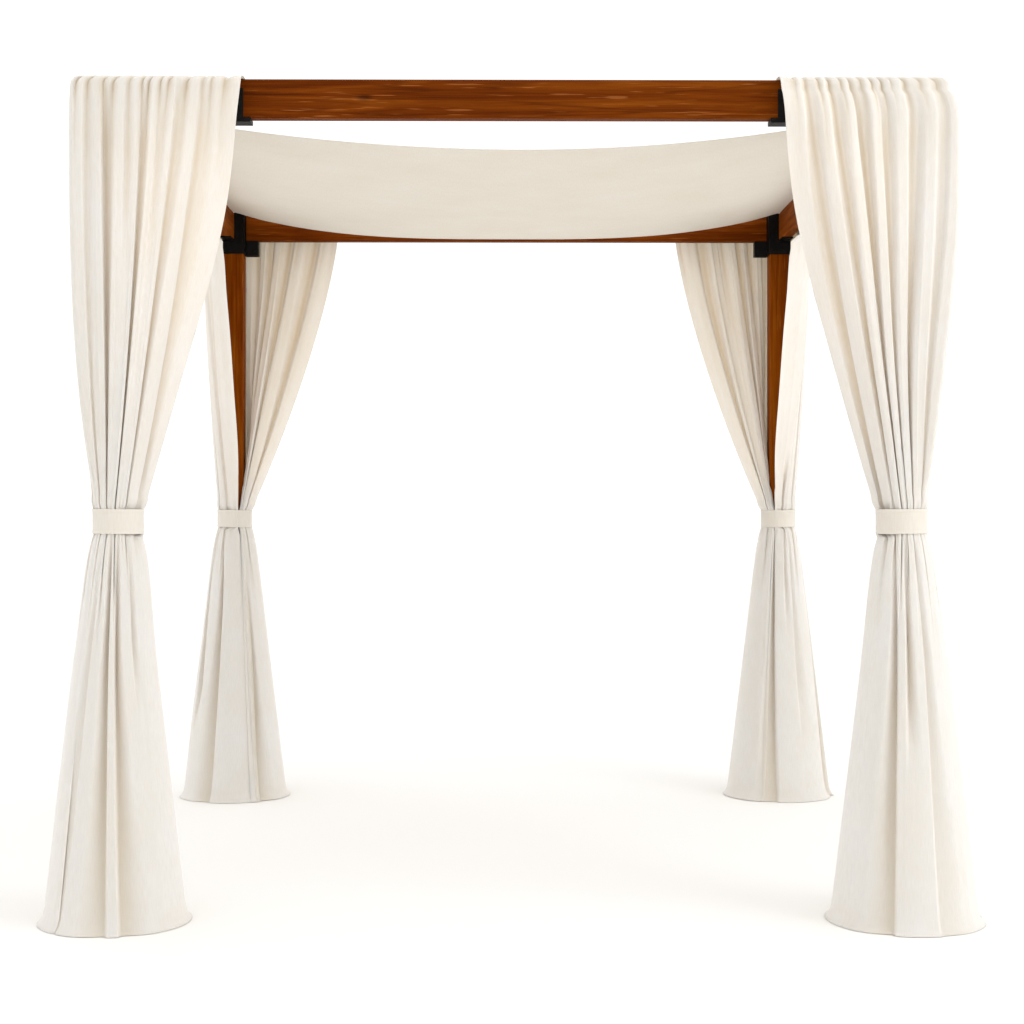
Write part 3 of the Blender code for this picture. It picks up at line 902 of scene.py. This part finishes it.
def ramp(tree, factor, stops):
    """Colour ramp over a factor, from (place, screen colour) stops."""
    made = node(tree, "ValToRGB", {"Fac": factor})
    points = made.color_ramp.elements
    points[0].position, points[0].color = stops[0][0], linear(*stops[0][1])
    points[1].position, points[1].color = stops[-1][0], linear(*stops[-1][1])
    for place, colour in stops[1:-1]:
        added = points.new(place)
        added.color = linear(*colour)
    return made.outputs["Color"]


def mixed(tree, share, first, second, blend="MIX"):
    """Mix of two colours, each a socket or a screen colour, by a share, a socket or a number."""
    made = node(tree, "Mix", data_type="RGBA", blend_type=blend)
    for socket, value in (("Factor", share), (6, first), (7, second)):
        if isinstance(value, tuple):
            made.inputs[socket].default_value = linear(*value)
        elif isinstance(value, bpy.types.NodeSocket):
            tree.links.new(value, made.inputs[socket])
        else:
            made.inputs[socket].default_value = value
    return made.outputs[2]


def math_node(tree, operation, first, second):
    """Result of a sum or a product of two sockets."""
    return node(tree, "Math", {0: first, 1: second}, operation=operation).outputs["Value"]


def finish_shader(tree, shader, colour, relief, strength, distance, values):
    """Links the colour and a bump from the relief, and sets the values on the shader's own sockets."""
    tree.links.new(colour, shader.inputs["Base Color"])
    bump = node(tree, "Bump", {"Height": relief, "Strength": strength, "Distance": distance})
    tree.links.new(bump.outputs["Normal"], shader.inputs["Normal"])
    for socket, value in values.items():
        shader.inputs[socket].default_value = value


def cloth_material(name, lit, shaded, painted_shade, threads, see_through):
    """Plain woven cloth: crossing threads as bump, slubs, a faint change of tone, and painted shade in the
    folds.
    """
    material, tree, shader = tree_of(name)
    flat = node(tree, "UVMap", uv_map="flat_cloth").outputs["UV"]
    thread = {"Vector": flat, "Scale": threads, "Distortion": 0.6, "Detail": 1.0}
    warp, weft = (node(tree, "TexWave", thread, bands_direction=way).outputs["Fac"] for way in "XY")
    weave = math_node(tree, "MULTIPLY", warp, weft)
    slub_map = node(tree, "Mapping", {"Vector": flat, "Scale": (260.0, 24.0, 1.0)}).outputs["Vector"]
    slubs = noise(tree, slub_map, 1.0, 3.0)
    tone = noise(tree, flat, 3.2, 4.0, roughness=0.6)
    colour = ramp(tree, tone, ((0.32, shaded), (0.68, lit)))
    # Painted shade: the colour darkens towards the shade tone where the curtain's stored painted shade says
    # the folds are deep
    painted_shade_mask = node(tree, "Attribute", attribute_name="painted_shade").outputs["Fac"]
    colour = mixed(tree, painted_shade_mask, colour, painted_shade)
    slub_tone = ramp(tree, slubs, ((0.30, (246, 244, 241)), (0.62, WHITE)))
    colour = mixed(tree, 0.55, colour, slub_tone, "MULTIPLY")
    values = {
        "Roughness": 0.92,
        "Specular IOR Level": 0.12,
        "Sheen Weight": 0.06,
        "Sheen Roughness": 0.6,
        "Subsurface Weight": see_through,
        "Subsurface Radius": (1.0, 0.93, 0.84),
        "Subsurface Scale": 0.004,
    }
    relief = math_node(tree, "ADD", weave, slubs)
    finish_shader(tree, shader, colour, relief, strength=0.25, distance=0.0004, values=values)
    return material


def wood_material(grain):
    """Stained softwood whose grain runs along X, Y or Z: rings, hairlines, fibre, pale flecks and knots."""
    material, tree, shader = tree_of(f"stained_wood_{grain}")
    place = node(tree, "TexCoord").outputs["Object"]
    along_rings = stretched(tree, place, grain, 9.0, 0.55)
    bend = noise(tree, along_rings, 0.8, 3.0, roughness=0.55)
    rings = noise(tree, along_rings, 3.4, 6.0, distortion=1.1)
    fibre = noise(tree, stretched(tree, place, grain, 260.0, 5.0), 1.0, 4.0, roughness=0.7)
    hairlines = noise(tree, stretched(tree, place, grain, 26.0, 0.6), 1.0, 2.0, distortion=0.4)
    flecks = noise(tree, stretched(tree, place, grain, 170.0, 7.0), 1.0, 1.0)
    cells = {"Vector": stretched(tree, place, grain, 9.0, 3.4), "Scale": 1.0, "Randomness": 1.0}
    knots = node(tree, "TexVoronoi", cells).outputs["Distance"]

    # The ring tones of the side beams and the posts are paler as painted light for the shade they stand in
    colour = ramp(tree, rings, tuple(zip((0.30, 0.47, 0.58, 0.75), WOOD_TONES[grain])))
    broad = ramp(tree, bend, ((0.30, (214, 190, 176)), (0.70, WHITE)))
    colour = mixed(tree, 0.35, colour, broad, "MULTIPLY")
    fibre_tone = ramp(tree, fibre, ((0.36, (168, 148, 136)), (0.60, WHITE)))
    colour = mixed(tree, 0.35, colour, fibre_tone, "MULTIPLY")
    dark_lines = ramp(tree, hairlines, ((0.43, WHITE), (0.455, (150, 128, 110)), (0.48, WHITE)))
    colour = mixed(tree, 0.45, colour, dark_lines, "MULTIPLY")
    pale_flecks = ramp(tree, flecks, ((0.66, (0, 0, 0)), (0.74, (96, 62, 32))))
    colour = mixed(tree, 1.0, colour, pale_flecks, "ADD")
    knot_tone = ramp(tree, knots, ((0.04, (70, 36, 24)), (0.12, WHITE)))
    colour = mixed(tree, 0.6, colour, knot_tone, "MULTIPLY")
    relief = math_node(tree, "ADD", fibre, rings)
    values = {"Specular IOR Level": 0.03}
    finish_shader(tree, shader, colour, relief, strength=0.45, distance=0.0009, values=values)
    rough = node(tree, "MapRange", {"Value": fibre, "To Min": 0.62, "To Max": 0.46})
    tree.links.new(rough.outputs["Result"], shader.inputs["Roughness"])
    return material


def steel_material():
    """Matte black powder coat: a fine orange-peel bump and a little dust on it."""
    material, tree, shader = tree_of("black_powder_coat")
    place = node(tree, "TexCoord").outputs["Object"]
    peel = noise(tree, place, 900.0, 2.0)
    dust = noise(tree, place, 22.0, 5.0, roughness=0.65)
    colour = ramp(tree, dust, ((0.35, (8, 8, 7)), (0.75, (20, 19, 18))))
    values = {"Specular IOR Level": 0.12}
    finish_shader(tree, shader, colour, peel, strength=0.2, distance=0.0003, values=values)
    rough = node(tree, "MapRange", {"Value": dust, "To Min": 0.42, "To Max": 0.62})
    tree.links.new(rough.outputs["Result"], shader.inputs["Roughness"])
    return material


def dress_solids(steel):
    """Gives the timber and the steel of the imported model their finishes."""
    wood = {grain: wood_material(grain) for grain in WOOD_TONES}
    finishes = {
        "post_": wood["Z"],
        "beam_front": wood["X"],
        "beam_rear": wood["X"],
        "beam_left": wood["Y"],
        "beam_right": wood["Y"],
        "corner_bracket_": steel,
        "beam_clip_": steel,
    }
    for name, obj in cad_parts.items():
        for start, finish in finishes.items():
            if name.startswith(start):
                obj.data.materials.clear()
                obj.data.materials.append(finish)


def make_floor():
    """Wide pale floor, so that its edge stays out of every view."""
    material, _, shader = tree_of("studio_floor")
    shader.inputs["Base Color"].default_value = (0.95, 0.94, 0.92, 1)
    shader.inputs["Roughness"].default_value = 0.95
    shader.inputs["Specular IOR Level"].default_value = 0.1
    corners = [(x * FLOOR_HALF, y * FLOOR_HALF, 0) for x, y in ((-1, -1), (1, -1), (1, 1), (-1, 1))]
    mesh = bpy.data.meshes.new("studio_floor")
    mesh.from_pydata(corners, [], [(0, 1, 2, 3)])
    mesh.materials.append(material)
    in_scene("studio_floor", mesh)


def make_light():
    """White surroundings, a large soft light from the front right and a faint low sun from the front."""
    world = bpy.data.worlds.new("studio")
    bpy.context.scene.world = world
    world.use_nodes = True
    backdrop = world.node_tree.nodes["Background"]
    backdrop.inputs["Color"].default_value = (1, 1, 1, 1)
    backdrop.inputs["Strength"].default_value = 1.12
    key = bpy.data.lights.new("key", "AREA")
    key.shape = "SQUARE"
    key.size = 5.0
    key.energy = 175
    lamp = in_scene("key", key)
    lamp.location = (7.0, -5.5, 4.5)
    lamp.rotation_euler = (math.radians(68), 0, math.radians(51))
    fill = bpy.data.lights.new("fill", "SUN")
    fill.energy = 0.30
    fill.angle = math.radians(50)
    in_scene("fill", fill).rotation_euler = (math.radians(82), 0, math.radians(-8))
    bpy.context.scene.view_settings.view_transform = "Standard"


def make_camera():
    """Camera at the photograph's height and distance, level, turned half a degree to the right."""
    data = bpy.data.cameras.new("camera")
    data.sensor_width = 36.0
    data.lens = CAMERA_LENS
    camera = in_scene("camera", data)
    camera.location = CAMERA_PLACE
    camera.rotation_euler = (math.radians(90), 0, CAMERA_TURN)
    bpy.context.scene.camera = camera


def main():
    """Sets the stage, finishes the solids, and makes the soft pieces and the bolts."""
    make_camera()
    make_light()
    make_floor()
    # The curtains' third tone is the painted shade colour that their folds darken to
    tones = (230, 224, 217), (227, 219, 209), (200, 185, 163)
    curtain_weave = cloth_material("curtain_weave", *tones, threads=260.0, see_through=0.9)
    tones = (222, 217, 208), (218, 211, 200), (218, 211, 200)
    band_weave = cloth_material("band_weave", *tones, threads=260.0, see_through=0.5)
    tones = (220, 214, 204), (216, 209, 197), (216, 209, 197)
    canopy_weave = cloth_material("canopy_weave", *tones, threads=200.0, see_through=0.45)
    steel = steel_material()
    dress_solids(steel)
    make_canopy(canopy_weave)
    for number, corner in enumerate(CORNERS):
        seed = 100 + 20 * number
        end_name, side_name = corner.split("_")
        make_tie_band(corner, band_weave)
        make_curtain(f"{end_name}_curtain_{side_name}", corner, "X", curtain_weave, seed)
        make_curtain(f"{side_name}_curtain_{end_name}", corner, "Y", curtain_weave, seed + 10)
        make_bolts(corner, steel)


main()
